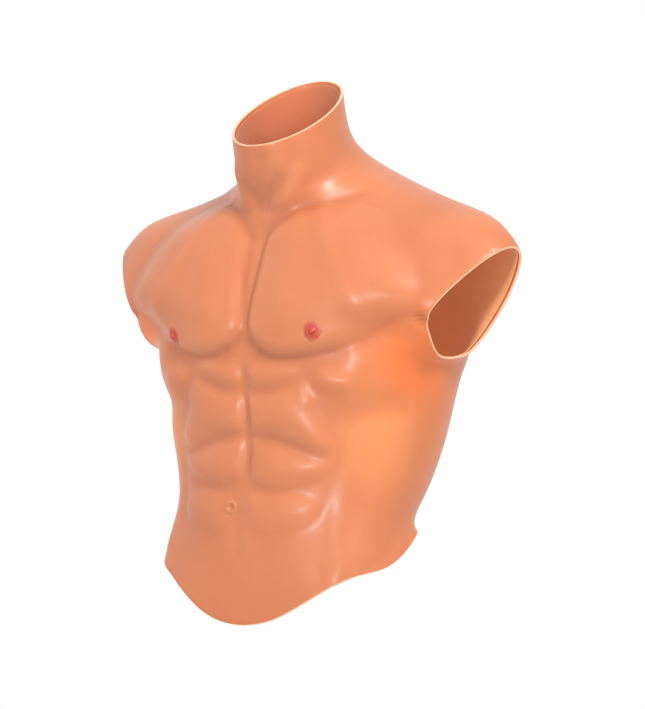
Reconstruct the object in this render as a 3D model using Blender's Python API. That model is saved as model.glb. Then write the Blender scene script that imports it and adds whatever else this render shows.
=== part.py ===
"""Wearable silicone muscle torso: a hollow moulded skin with neck, cap sleeves and a wavy hem.

Behind the skin lie the foam pads that fill each raised muscle, and a knitted liner in two panels.
Metres, +Z up. The front faces -Y and the wearer's left is +X. Heights are modelled from the lowest
point of the hem, and everything is then lowered so that the origin is on the shoulder line, where
the wearer's body carries the garment.
"""

from math import cos, pi, radians, sin

import bmesh
import bpy
import numpy as np
from mathutils import Matrix, Vector
from mathutils.bvhtree import BVHTree

# Wall thicknesses and clearances
SKIN = 0.0025
LINER = 0.0008
GAP = 0.0003
LINER_GAP = 0.0020
PAD_CLEARANCE = 0.0010
THINNEST_PAD = 0.0008

# Shoulder line, the height that becomes z = 0
HANG_HEIGHT = 0.410

# Stations up the body, from the hem to the neck rim. Each is a closed ring around the body.
STATION_FIELDS = (
    "front_z", "side_z", "back_z", "half_width", "half_depth", "centre_y",
    "front_square", "back_square", "arm_out", "arm_rise", "arm_half", "arm_y",
)
STATIONS = (
    (0.000, 0.066, 0.060, 0.136, 0.080, -0.020, 0.03, 0.03, 0.000, 0.000, 0.060, 0.000),
    (0.085, 0.100, 0.095, 0.126, 0.080, -0.010, 0.03, 0.02, 0.000, 0.000, 0.060, 0.000),
    (0.132, 0.134, 0.135, 0.129, 0.091, 0.003, 0.03, 0.02, 0.000, 0.000, 0.060, 0.000),
    (0.180, 0.178, 0.180, 0.139, 0.097, 0.009, 0.04, 0.03, 0.000, 0.000, 0.060, 0.000),
    (0.232, 0.222, 0.230, 0.152, 0.100, 0.008, 0.04, 0.03, 0.000, 0.000, 0.060, 0.000),
    (0.268, 0.254, 0.268, 0.163, 0.098, 0.008, 0.04, 0.04, 0.000, 0.000, 0.056, -0.010),
    (0.292, 0.279, 0.304, 0.168, 0.096, 0.010, 0.04, 0.04, 0.028, -0.014, 0.052, -0.016),
    (0.314, 0.306, 0.338, 0.168, 0.094, 0.012, 0.04, 0.04, 0.083, -0.010, 0.064, -0.029),
    (0.334, 0.336, 0.368, 0.166, 0.092, 0.015, 0.02, 0.03, 0.089, 0.002, 0.080, -0.038),
    (0.354, 0.366, 0.396, 0.161, 0.087, 0.016, 0.00, 0.02, 0.073, 0.007, 0.086, -0.038),
    (0.372, 0.393, 0.419, 0.141, 0.081, 0.013, -0.02, 0.00, 0.045, 0.003, 0.080, -0.032),
    (0.388, 0.417, 0.441, 0.100, 0.073, 0.005, -0.03, 0.00, 0.014, 0.000, 0.070, -0.010),
    (0.402, 0.437, 0.465, 0.065, 0.057, -0.012, 0.00, 0.00, 0.000, 0.000, 0.060, 0.000),
    (0.426, 0.459, 0.494, 0.055, 0.053, -0.029, 0.00, 0.00, 0.000, 0.000, 0.060, 0.000),
    (0.457, 0.492, 0.527, 0.053, 0.054, -0.038, 0.00, 0.00, 0.000, 0.000, 0.060, 0.000),
)
TOP = len(STATIONS) - 1
HEM_REACH = 2.0

# Height of the hem by angle from the front centre, in degrees
HEM = (
    (0, 0.000), (15, 0.007), (30, 0.026), (45, 0.044), (60, 0.054),
    (75, 0.060), (90, 0.072), (115, 0.091), (145, 0.076), (180, 0.060),
)

# The armhole: an oval cut whose flat end is the sleeve's rim, leaning outward towards the top
ARMHOLE_CENTRE = Vector((0.212, 0.000, 0.3315))
ARMHOLE_LEAN = radians(34)
ARMHOLE_TURN = radians(8.5)
ARMHOLE_HALF_LENGTH = 0.0845
ARMHOLE_HALF_WIDTH = 0.0620
ARMHOLE_CUT_DEPTH = 0.12

# Muscles: which centre line the outline is measured from, height, width of the rounded edge, and the
# outline as (distance round the body, height above the hem)
MUSCLES = {
    "pectoral": ("front", 0.017, 0.034, (
        (0.024, 0.394), (0.008, 0.372), (0.003, 0.345), (0.003, 0.300), (0.008, 0.272), (0.030, 0.258),
        (0.060, 0.256), (0.092, 0.262), (0.122, 0.275), (0.152, 0.295), (0.166, 0.322), (0.150, 0.355),
        (0.115, 0.385), (0.070, 0.400),
    )),
    "upper_abdominal": ("front", 0.006, 0.011, (
        (0.004, 0.252), (0.004, 0.230), (0.035, 0.227), (0.070, 0.234), (0.072, 0.251), (0.040, 0.250),
    )),
    "middle_abdominal": ("front", 0.008, 0.014, (
        (0.004, 0.223), (0.004, 0.188), (0.020, 0.181), (0.055, 0.175), (0.086, 0.166), (0.088, 0.190),
        (0.074, 0.226), (0.035, 0.221),
    )),
    "lower_abdominal": ("front", 0.007, 0.014, (
        (0.004, 0.177), (0.006, 0.138), (0.040, 0.133), (0.078, 0.136), (0.092, 0.158), (0.070, 0.166),
        (0.030, 0.173),
    )),
    "belly": ("front", 0.006, 0.020, (
        (0.009, 0.128), (0.007, 0.070), (0.025, 0.045), (0.050, 0.060), (0.070, 0.105), (0.076, 0.128),
        (0.040, 0.127),
    )),
    "serratus": ("front", 0.005, 0.016, (
        (0.092, 0.252), (0.092, 0.222), (0.118, 0.203), (0.148, 0.212), (0.160, 0.238), (0.150, 0.262),
        (0.120, 0.262),
    )),
    "oblique": ("front", 0.006, 0.022, (
        (0.102, 0.186), (0.098, 0.140), (0.100, 0.095), (0.128, 0.100), (0.146, 0.140), (0.152, 0.178),
        (0.130, 0.198),
    )),
    "deltoid": ("front", 0.007, 0.040, (
        (0.165, 0.372), (0.180, 0.362), (0.215, 0.364), (0.255, 0.372), (0.290, 0.390), (0.280, 0.408),
        (0.240, 0.412), (0.190, 0.402),
    )),
    "trapezius": ("back", 0.009, 0.026, (
        (0.005, 0.420), (0.035, 0.430), (0.070, 0.428), (0.100, 0.421), (0.096, 0.406), (0.065, 0.388),
        (0.036, 0.350), (0.006, 0.325),
    )),
    "shoulder_blade": ("back", 0.009, 0.028, (
        (0.042, 0.330), (0.055, 0.375), (0.095, 0.392), (0.140, 0.375), (0.150, 0.345), (0.115, 0.318),
        (0.070, 0.308),
    )),
    "lat": ("back", 0.011, 0.040, (
        (0.046, 0.200), (0.070, 0.175), (0.105, 0.190), (0.140, 0.235), (0.160, 0.275), (0.135, 0.296),
        (0.090, 0.295), (0.048, 0.270),
    )),
    "lower_back": ("back", 0.008, 0.022, (
        (0.006, 0.250), (0.005, 0.170), (0.006, 0.110), (0.028, 0.108), (0.042, 0.135), (0.042, 0.190),
        (0.034, 0.250),
    )),
}

# Mesh: spokes are closer together over the front, and rings follow the creases of its midline
FRONT_SPOKES = 22
BACK_SPOKES = 22
FRONT_SPAN = radians(66)
RING_HEIGHTS = (
    0.000, 0.020, 0.042, 0.064, 0.086, 0.108, 0.130, 0.141, 0.157, 0.174, 0.184, 0.204, 0.2255,
    0.236, 0.250, 0.258, 0.270, 0.284, 0.298, 0.312, 0.325, 0.338, 0.350, 0.362, 0.374, 0.385,
    0.394, 0.402, 0.413, 0.428, 0.457,
)
PAD_SPACING = 0.015
PAD_REACHES = (0.90, 0.82, 0.74, 0.66, 0.58, 0.50, 0.42)
PAD_SAMPLE = 0.009
PAD_SAMPLES = 8
WALL_SEARCH = 0.030
NIPPLE_SPOKES = 16
DENSE = 181
HEIGHT_STEPS = 20
NEARBY = 0.02
ARMHOLE_SIDES = 40

# Nipple and areola, on the chest
NIPPLE_GIRTH = 0.084
NIPPLE_Z = 0.281
AREOLA_RADIUS = 0.0085
AREOLA_HEIGHT = 0.0011
NIPPLE_RADIUS = 0.0030
NIPPLE_HEIGHT = 0.0036
NIPPLE_SEARCH = 0.040
NIPPLE_CLEARANCE = 0.0005
LINER_INSET = 0.0030

SKIN_TONE = (0.80, 0.29, 0.16, 1)
SKIN_DARK = (0.56, 0.18, 0.09, 1)
NIPPLE_TONE = (0.60, 0.10, 0.08, 1)
PAD_TONE = (0.88, 0.84, 0.74, 1)


def make_material(name, colour, roughness):
    """A plain Principled material in the piece's own colour."""
    material = bpy.data.materials.new(name)
    material.use_nodes = True
    shader = material.node_tree.nodes["Principled BSDF"]
    shader.inputs["Base Color"].default_value = colour
    shader.inputs["Roughness"].default_value = roughness
    return material


def add_object(name, bm, material):
    """One closed mesh as a named object, smooth except at its sharp edges."""
    bmesh.ops.recalc_face_normals(bm, faces=bm.faces)
    mesh = bpy.data.meshes.new(name)
    bm.to_mesh(mesh)
    bm.free()
    mesh.shade_smooth()
    mesh.set_sharp_from_angle(angle=radians(50))
    mesh.materials.append(material)
    obj = bpy.data.objects.new(name, mesh)
    bpy.context.collection.objects.link(obj)
    return obj


def spline(knots, values, at, flat_ends=False):
    """Cubic spline through the knots. Its ends are free, or level where flat_ends is set."""
    knots = np.asarray(knots, float)
    values = np.asarray(values, float).reshape(len(knots), -1)
    count = len(knots)
    step = np.diff(knots)
    rise = np.diff(values, axis=0) / step[:, None]
    system = np.eye(count)
    target = np.zeros_like(values)
    for i in range(1, count - 1):
        system[i, i - 1:i + 2] = step[i - 1], 2 * (step[i - 1] + step[i]), step[i]
        target[i] = 6 * (rise[i] - rise[i - 1])
    if flat_ends:
        system[0, :2] = 2 * step[0], step[0]
        target[0] = 6 * rise[0]
        system[-1, -2:] = step[-1], 2 * step[-1]
        target[-1] = -6 * rise[-1]
    bend = np.linalg.solve(system, target)
    at = np.atleast_1d(np.asarray(at, float))
    i = np.clip(np.searchsorted(knots, at, side="right") - 1, 0, count - 2)
    width = step[i][:, None]
    d = (at - knots[i])[:, None]
    slope = rise[i] - width * (2 * bend[i] + bend[i + 1]) / 6
    return values[i] + d * (slope + d * (bend[i] / 2 + d * (bend[i + 1] - bend[i]) / (6 * width)))


def hem_height(turn):
    """Height of the hem at each angle from the front centre."""
    from_front = np.degrees(np.abs((turn + pi) % (2 * pi) - pi))
    angles, heights = zip(*HEM)
    return spline(angles, heights, from_front, flat_ends=True)[:, 0]


def body_rings(turn, level):
    """Points of the plain body, one ring for each level (0 at the hem, TOP at the neck rim)."""
    row = dict(zip(STATION_FIELDS, spline(range(TOP + 1), STATIONS, level).T[:, :, None]))
    s, c = np.sin(turn)[None], np.cos(turn)[None]
    square = row["back_square"] + (row["front_square"] - row["back_square"]) * (1 + c) / 2
    x = row["half_width"] * (s + square * np.sin(3 * turn)) / (1 - square)
    y = row["centre_y"] - row["half_depth"] * (c - square * np.cos(3 * turn)) / (1 - square)

    def around(front, side, back):
        middle = (front + back + 2 * side) / 4
        return middle + (front - back) / 2 * c + (front + back - 2 * side) / 4 * (2 * c * c - 1)

    z = around(row["front_z"], row["side_z"], row["back_z"])
    fade = np.clip(1 - np.asarray(level)[:, None] / HEM_REACH, 0, 1) ** 2
    z = z + fade * (hem_height(turn)[None] - around(*STATIONS[0][:3]))
    shoulder = np.exp(-np.abs((y - row["centre_y"] - row["arm_y"]) / row["arm_half"]) ** 3) * s * s
    x = x + np.sign(s) * row["arm_out"] * shoulder
    z = z + row["arm_rise"] * shoulder
    return np.stack([x, y, z], axis=-1)


def ring_normals(points):
    """Outward unit normals of a grid of rings. At the neck rim they lie in the rim's plane."""
    across = np.roll(points, -1, axis=1) - np.roll(points, 1, axis=1)
    along = np.gradient(points, axis=0)
    normals = np.cross(across, along)
    rim = points[-1]
    rim_axis = np.cross(rim[len(rim) // 4] - rim[0], rim[len(rim) // 2] - rim[0])
    rim_axis /= np.linalg.norm(rim_axis)
    normals[-1] -= (normals[-1] @ rim_axis)[:, None] * rim_axis
    return normals / np.linalg.norm(normals, axis=-1, keepdims=True)


def lowered(points):
    """Moves points from heights above the hem to heights from the shoulder line."""
    return points - np.array([0, 0, HANG_HEIGHT])


def smooth_outline(points, steps=6):
    """The closed outline through the points, rounded between them."""
    points = np.array(points)
    before, after, beyond = np.roll(points, 1, 0), np.roll(points, -1, 0), np.roll(points, -2, 0)
    rows = []
    for k in range(steps):
        f = k / steps
        rows.append(0.5 * (
            2 * points + (after - before) * f
            + (2 * before - 5 * points + 4 * after - beyond) * f ** 2
            + (3 * points - before - 3 * after + beyond) * f ** 3
        ))
    return np.stack(rows, axis=1).reshape(-1, 2)


def depth_inside(outline, girth, height):
    """Distance from each place to the outline, positive inside and zero outside."""
    nearest = np.full(girth.shape, 1.0)
    inside = np.zeros(girth.shape, bool)
    for (ax, ay), (bx, by) in zip(outline, np.roll(outline, -1, 0)):
        dx, dy = bx - ax, by - ay
        f = np.clip(((girth - ax) * dx + (height - ay) * dy) / (dx * dx + dy * dy), 0, 1)
        nearest = np.minimum(nearest, np.hypot(girth - ax - f * dx, height - ay - f * dy))
        if ay != by:
            crossing = (ay > height) != (by > height)
            inside ^= crossing & (girth < ax + (height - ay) * dx / dy)
    return np.where(inside, nearest, 0)


def relief(front_girth, back_girth, height):
    """How far the muscles raise the surface at each place."""
    total = np.zeros(height.shape)
    for side, rise, edge, outline in MUSCLES.values():
        girth = front_girth if side == "front" else back_girth
        depth = depth_inside(smooth_outline(outline), girth, height)
        raised = np.clip(depth / edge, 0, 1)
        total = np.maximum(total, rise * np.sqrt(1 - (1 - raised) ** 2))
    return total


def girths(turn, level):
    """Distance round the body from the front centre and from the back centre, for each grid point."""
    half_turn = np.linspace(0, pi, DENSE)
    folded = np.abs((turn + pi) % (2 * pi) - pi)
    rings = body_rings(half_turn, level)
    steps = np.linalg.norm(np.diff(rings, axis=1), axis=-1)
    walked = np.pad(np.cumsum(steps, axis=1), ((0, 0), (1, 0)))
    from_front = np.array([np.interp(folded, half_turn, row) for row in walked])
    return from_front, walked[:, -1:] - from_front


def spoke_angles():
    """Angles of the spokes, counted from the front centre towards the wearer's left."""
    half_front = np.linspace(0, FRONT_SPAN, FRONT_SPOKES // 2 + 1)
    half_back = np.linspace(FRONT_SPAN, pi, BACK_SPOKES // 2 + 1)[1:]
    half = np.concatenate([half_front, half_back])
    return np.concatenate([half, 2 * pi - half[-2:0:-1]])


def tube_solid(inner, outer, closed):
    """A wall between two grids of the same layout, closed round the body or open at its two sides."""
    bm = bmesh.new()
    rings, spokes = inner.shape[:2]
    verts = [[[bm.verts.new(p) for p in ring] for ring in grid] for grid in (inner, outer)]
    spans = range(spokes if closed else spokes - 1)
    for layer in verts:
        for i in range(rings - 1):
            for j in spans:
                k = (j + 1) % spokes
                corners = [layer[i][j], layer[i][k], layer[i + 1][k], layer[i + 1][j]]
                if sum(corner.co.x for corner in corners) < 0:
                    corners = corners[1:] + corners[:1]
                bm.faces.new((corners[0], corners[1], corners[2]))
                bm.faces.new((corners[0], corners[2], corners[3]))
    for i in (0, rings - 1):
        for j in spans:
            k = (j + 1) % spokes
            bm.faces.new((verts[0][i][j], verts[0][i][k], verts[1][i][k], verts[1][i][j]))
    if not closed:
        for j in (0, spokes - 1):
            for i in range(rings - 1):
                bm.faces.new((verts[0][i][j], verts[0][i + 1][j], verts[1][i + 1][j], verts[1][i][j]))
    return bm


def armhole_axes():
    """Unit vectors of the left armhole: up its flat rim, across it, and straight out of it."""
    along = Vector((sin(ARMHOLE_LEAN), 0, cos(ARMHOLE_LEAN)))
    level = Vector((cos(ARMHOLE_LEAN), 0, -sin(ARMHOLE_LEAN)))
    outward = level * cos(ARMHOLE_TURN) - Vector((0, 1, 0)) * sin(ARMHOLE_TURN)
    return along, outward.cross(along), outward


def add_arm_cutters():
    """Two oval blocks whose inner ends are the flat planes of the armhole rims."""
    along, across, outward = armhole_axes()
    rim = ARMHOLE_CENTRE - Vector((0, 0, HANG_HEIGHT))
    turned = Matrix((along, across, outward)).transposed().to_4x4()
    size = Matrix.Diagonal((ARMHOLE_HALF_LENGTH, ARMHOLE_HALF_WIDTH, ARMHOLE_CUT_DEPTH, 1))
    left = Matrix.Translation(rim + outward * ARMHOLE_CUT_DEPTH / 2) @ turned @ size
    cutters = []
    for name, mirror in (("cut_arm_left", 1), ("cut_arm_right", -1)):
        bm = bmesh.new()
        bmesh.ops.create_cone(
            bm, cap_ends=True, segments=ARMHOLE_SIDES, radius1=1, radius2=1, depth=1,
            matrix=Matrix.Diagonal((mirror, 1, 1, 1)) @ left,
        )
        bmesh.ops.recalc_face_normals(bm, faces=bm.faces)
        mesh = bpy.data.meshes.new(name)
        bm.to_mesh(mesh)
        bm.free()
        cutter = bpy.data.objects.new(name, mesh)
        bpy.context.collection.objects.link(cutter)
        cutter.hide_render = True
        cutter.display_type = "WIRE"
        cutters.append(cutter)
    return cutters


def cut_arms(obj, cutters):
    """Opens both armholes of the piece."""
    for cutter in cutters:
        cut = obj.modifiers.new(cutter.name, "BOOLEAN")
        cut.operation = "DIFFERENCE"
        cut.solver = "EXACT"
        cut.object = cutter


class Body:
    """The grid that the skin and the liner share, and a way to find places on it."""

    def __init__(self):
        self.turn = spoke_angles()
        levels = np.linspace(0, TOP, DENSE)
        self.level = np.interp(RING_HEIGHTS, body_rings(np.zeros(1), levels)[:, 0, 2], levels)
        points = body_rings(self.turn, self.level)
        self.normal = ring_normals(points)
        self.raised = relief(*girths(self.turn, self.level), points[..., 2])
        self.plain = lowered(points)

    def offset(self, distance, with_relief):
        """The whole grid moved along its normals."""
        away = distance + self.raised * with_relief
        return self.plain + self.normal * away[..., None]

    def sheet_tree(self, distance, with_relief):
        """One of the grid's surfaces, ready to be searched with rays."""
        bm = tube_solid(self.offset(distance, with_relief), self.offset(2 * WALL_SEARCH, False), closed=True)
        tree = BVHTree.FromBMesh(bm)
        bm.free()
        return tree

    @staticmethod
    def place(side, girth, height):
        """The point and the normal of the plain body at a distance round it and a height."""
        turn = np.linspace(0, pi, DENSE)
        low, high = 0.0, float(TOP)
        for _ in range(HEIGHT_STEPS):
            level = (low + high) / 2
            ring = body_rings(turn, [level])[0]
            walked = np.pad(np.cumsum(np.linalg.norm(np.diff(ring, axis=0), axis=1)), (1, 0))
            along = girth if side == "front" else walked[-1] - girth
            at = np.interp(along, walked, turn)
            if np.interp(at, turn, ring[:, 2]) < height:
                low = level
            else:
                high = level
        steps = np.array([-NEARBY, 0, NEARBY])
        near = body_rings(at + steps, level + steps)
        normal = np.cross(near[1, 2] - near[1, 0], near[2, 1] - near[0, 1])
        return Vector(lowered(near[1, 1])), Vector(normal / np.linalg.norm(normal))


def polar_solid(floor, roof, spokes):
    """A closed solid between two layers, each a centre point followed by rings of points."""
    bm = bmesh.new()
    layers = [[bm.verts.new(p) for p in layer] for layer in (floor, roof)]
    rings = (len(floor) - 1) // spokes
    for layer in layers:
        for j in range(spokes):
            k = (j + 1) % spokes
            bm.faces.new((layer[0], layer[1 + j], layer[1 + k]))
            for ring in range(rings - 1):
                inner, outer = 1 + ring * spokes, 1 + (ring + 1) * spokes
                bm.faces.new((layer[inner + j], layer[inner + k], layer[outer + k]))
                bm.faces.new((layer[inner + j], layer[outer + k], layer[outer + j]))
    rim = 1 + (rings - 1) * spokes
    for j in range(spokes):
        k = (j + 1) % spokes
        bm.faces.new((layers[0][rim + j], layers[0][rim + k], layers[1][rim + k]))
        bm.faces.new((layers[0][rim + j], layers[1][rim + k], layers[1][rim + j]))
    return bm


def pad_room(place, liner_tree, skin_tree):
    """Heights, along the normal around a place, of the free space between the liner and the skin."""
    point, normal = place
    across = normal.orthogonal().normalized()
    up = normal.cross(across)
    lowest, highest = -SKIN - GAP, 1.0
    samples = [Vector()]
    for k in range(PAD_SAMPLES):
        angle = 2 * pi * k / PAD_SAMPLES
        samples.append((across * cos(angle) + up * sin(angle)) * PAD_SAMPLE)
    for sample in samples:
        start = point + sample - normal * WALL_SEARCH
        floor = liner_tree.ray_cast(start, normal)[3] or WALL_SEARCH
        roof = skin_tree.ray_cast(start, normal)[3] or 0
        lowest = max(lowest, floor - WALL_SEARCH + PAD_CLEARANCE)
        highest = min(highest, roof - WALL_SEARCH - PAD_CLEARANCE)
    return lowest, highest


def pad_solid(body, side, outline, trees):
    """A soft pad that fills the hollow behind one raised muscle, as far out as it has room."""
    points = smooth_outline(outline)
    points = np.vstack([points, points[:1]])
    walked = np.append(0, np.cumsum(np.linalg.norm(np.diff(points, axis=0), axis=1)))
    rings = max(2, round(walked[-1] / (2 * pi * PAD_SPACING)))
    spokes = 6 + 3 * rings
    picks = np.linspace(0, walked[-1], spokes, endpoint=False)
    rim = np.stack([np.interp(picks, walked, axis) for axis in points.T], axis=1)
    middle = rim.mean(axis=0)
    reaches = []
    for corner in rim:
        for reach in PAD_REACHES:
            place = body.place(side, *(middle + (corner - middle) * reach))
            lowest, highest = pad_room(place, *trees)
            if highest - lowest > THINNEST_PAD:
                break
        reaches.append(reach)
    spots = [middle]
    for ring in range(1, rings + 1):
        spots += [middle + (corner - middle) * reach * ring / rings for corner, reach in zip(rim, reaches)]
    floor, roof = [], []
    for spot in spots:
        point, normal = body.place(side, *spot)
        lowest, highest = pad_room((point, normal), *trees)
        floor.append(point + normal * lowest)
        roof.append(point + normal * max(highest, lowest + THINNEST_PAD))
    return polar_solid(floor, roof, spokes)


def nipple_solid(body, skin_tree):
    """A low round areola with the nipple in its middle, resting on the skin."""
    centre, normal = body.place("front", NIPPLE_GIRTH, NIPPLE_Z)
    across = normal.orthogonal().normalized()
    up = normal.cross(across)
    radii = (0.6 * NIPPLE_RADIUS, NIPPLE_RADIUS, 1.3 * NIPPLE_RADIUS, 0.8 * AREOLA_RADIUS, AREOLA_RADIUS)
    lifts = (NIPPLE_HEIGHT, 0.7 * NIPPLE_HEIGHT, AREOLA_HEIGHT, AREOLA_HEIGHT, 0.4 * AREOLA_HEIGHT)
    places = [(0, 0, NIPPLE_HEIGHT)]
    for radius, lift in zip(radii, lifts):
        for j in range(NIPPLE_SPOKES):
            angle = 2 * pi * j / NIPPLE_SPOKES
            places.append((radius * cos(angle), radius * sin(angle), lift))
    floor, roof = [], []
    for a, b, lift in places:
        above = centre + across * a + up * b + normal * NIPPLE_SEARCH
        hit = skin_tree.ray_cast(above, -normal)[0]
        floor.append(hit + normal * NIPPLE_CLEARANCE)
        roof.append(hit + normal * (NIPPLE_CLEARANCE + lift))
    return polar_solid(floor, roof, NIPPLE_SPOKES)


def liner_panel(body, first, last):
    """A thin panel behind the skin, between two spokes, stopping short of the hem and the neck rim."""
    columns = np.arange(first, last + 1) % len(body.turn)
    layers = []
    for distance in (-SKIN - LINER_GAP - LINER, -SKIN - LINER_GAP):
        grid = body.offset(distance, False)[:, columns]
        for edge, neighbour in ((0, 1), (-1, -2)):
            grid[:, edge] = moved_towards(grid[:, edge], grid[:, neighbour], GAP)
            grid[edge] = moved_towards(grid[edge], grid[neighbour], LINER_INSET)
        layers.append(grid)
    return tube_solid(*layers, closed=False)


def moved_towards(points, targets, distance):
    """Each point moved by a distance straight towards its target."""
    way = targets - points
    return points + way * distance / np.linalg.norm(way, axis=-1, keepdims=True)


def mirrored(bm):
    """A copy of the mesh on the wearer's other side."""
    copy = bm.copy()
    for vert in copy.verts:
        vert.co.x = -vert.co.x
    return copy


def add_pair(name, bm, material):
    """The wearer's left piece and its mirror image on the right."""
    other = mirrored(bm)
    add_object(name + "_left", bm, material)
    add_object(name + "_right", other, material)


def main():
    for obj in list(bpy.data.objects):
        bpy.data.objects.remove(obj)
    skin_material = make_material("silicone_skin", SKIN_TONE, 0.38)
    nipple_material = make_material("nipple_silicone", NIPPLE_TONE, 0.35)
    liner_material = make_material("knit_liner", SKIN_DARK, 0.85)
    pad_material = make_material("pad_foam", PAD_TONE, 0.95)

    body = Body()
    cutters = add_arm_cutters()
    skin_mesh = tube_solid(body.offset(-SKIN, True), body.offset(0, True), closed=True)
    outside = BVHTree.FromBMesh(skin_mesh)
    cut_arms(add_object("outer_skin", skin_mesh, skin_material), cutters)

    seam = int(np.searchsorted(body.turn, pi / 2))
    spokes = len(body.turn)
    for name, first, last in (
        ("liner_front", -seam, seam),
        ("liner_back", seam, spokes - seam),
    ):
        cut_arms(add_object(name, liner_panel(body, first, last), liner_material), cutters)

    add_pair("nipple", nipple_solid(body, outside), nipple_material)
    trees = body.sheet_tree(-SKIN - LINER_GAP, False), body.sheet_tree(-SKIN, True)
    for name, (side, _, _, outline) in MUSCLES.items():
        add_pair(name + "_pad", pad_solid(body, side, outline, trees), pad_material)


main()
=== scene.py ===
"""Looks of the wearable silicone muscle torso: skin, nipples, liner and pads behind the muscles."""

from math import cos, pi, radians, sin

import bmesh
import bpy
import numpy as np
from mathutils import Matrix, Vector


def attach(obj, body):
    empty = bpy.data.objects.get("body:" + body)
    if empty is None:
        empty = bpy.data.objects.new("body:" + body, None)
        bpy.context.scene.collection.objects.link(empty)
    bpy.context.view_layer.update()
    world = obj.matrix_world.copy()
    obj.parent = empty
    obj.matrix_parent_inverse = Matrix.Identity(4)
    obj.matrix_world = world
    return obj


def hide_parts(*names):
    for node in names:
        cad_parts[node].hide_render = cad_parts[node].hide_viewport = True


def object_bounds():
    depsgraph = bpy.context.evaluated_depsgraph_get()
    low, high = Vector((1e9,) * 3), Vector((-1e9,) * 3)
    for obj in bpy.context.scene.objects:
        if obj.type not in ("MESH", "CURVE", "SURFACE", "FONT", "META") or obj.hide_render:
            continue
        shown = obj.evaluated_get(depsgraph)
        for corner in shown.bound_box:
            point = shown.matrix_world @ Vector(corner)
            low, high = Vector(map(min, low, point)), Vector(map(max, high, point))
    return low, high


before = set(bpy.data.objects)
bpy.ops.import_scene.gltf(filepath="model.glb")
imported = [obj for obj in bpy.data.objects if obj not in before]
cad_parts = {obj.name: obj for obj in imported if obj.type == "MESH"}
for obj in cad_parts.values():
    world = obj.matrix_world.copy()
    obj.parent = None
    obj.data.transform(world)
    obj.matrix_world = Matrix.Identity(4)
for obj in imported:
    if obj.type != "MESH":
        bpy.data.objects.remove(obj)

cad_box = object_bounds()

# Lengths are in metres. Heights of the body and its relief are above the front of the hem, and the
# part's frame starts HANG_HEIGHT above it. Places of colours, lights and camera are in that frame.
HANG_HEIGHT = 0.410

# Wall thicknesses, as in the CAD
SKIN = 0.0025
LINER = 0.0008

# Cross-sections of the plain body, from the hem to the neck rim, as in the CAD
STATION_FIELDS = (
    "front_z", "side_z", "back_z", "half_width", "half_depth", "centre_y",
    "front_square", "back_square", "arm_out", "arm_rise", "arm_half", "arm_y",
)
STATIONS = (
    (0.000, 0.066, 0.060, 0.136, 0.080, -0.020, 0.03, 0.03, 0.000, 0.000, 0.060, 0.000),
    (0.085, 0.100, 0.095, 0.126, 0.080, -0.010, 0.03, 0.02, 0.000, 0.000, 0.060, 0.000),
    (0.132, 0.134, 0.135, 0.129, 0.091, 0.003, 0.03, 0.02, 0.000, 0.000, 0.060, 0.000),
    (0.180, 0.178, 0.180, 0.139, 0.097, 0.009, 0.04, 0.03, 0.000, 0.000, 0.060, 0.000),
    (0.232, 0.222, 0.230, 0.152, 0.100, 0.008, 0.04, 0.03, 0.000, 0.000, 0.060, 0.000),
    (0.268, 0.254, 0.268, 0.163, 0.098, 0.008, 0.04, 0.04, 0.000, 0.000, 0.056, -0.010),
    (0.292, 0.279, 0.304, 0.168, 0.096, 0.010, 0.04, 0.04, 0.028, -0.014, 0.052, -0.016),
    (0.314, 0.306, 0.338, 0.168, 0.094, 0.012, 0.04, 0.04, 0.083, -0.010, 0.064, -0.029),
    (0.334, 0.336, 0.368, 0.166, 0.092, 0.015, 0.02, 0.03, 0.089, 0.002, 0.080, -0.038),
    (0.354, 0.366, 0.396, 0.161, 0.087, 0.016, 0.00, 0.02, 0.073, 0.007, 0.086, -0.038),
    (0.372, 0.393, 0.419, 0.141, 0.081, 0.013, -0.02, 0.00, 0.045, 0.003, 0.080, -0.032),
    (0.388, 0.417, 0.441, 0.100, 0.073, 0.005, -0.03, 0.00, 0.014, 0.000, 0.070, -0.010),
    (0.402, 0.437, 0.465, 0.065, 0.057, -0.012, 0.00, 0.00, 0.000, 0.000, 0.060, 0.000),
    (0.426, 0.459, 0.494, 0.055, 0.053, -0.029, 0.00, 0.00, 0.000, 0.000, 0.060, 0.000),
    (0.457, 0.492, 0.527, 0.053, 0.054, -0.038, 0.00, 0.00, 0.000, 0.000, 0.060, 0.000),
)
TOP = len(STATIONS) - 1
CHEST_LEVEL = 0.5 * TOP

# Height of the hem above the front of the body at each angle from the front, fading over HEM_REACH
# cross-sections
HEM = (
    (0, 0.000), (15, 0.007), (30, 0.026), (45, 0.044), (60, 0.054),
    (75, 0.060), (90, 0.072), (115, 0.091), (145, 0.076), (180, 0.060),
)
HEM_REACH = 2.0

# The left armhole: an oval, leaning outwards at the top and turned to the front
ARMHOLE_CENTRE = Vector((0.212, 0.000, 0.3315))
ARMHOLE_LEAN = radians(34)
ARMHOLE_TURN = radians(8.5)
ARMHOLE_HALF_LENGTH = 0.0845
ARMHOLE_HALF_WIDTH = 0.0620

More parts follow.
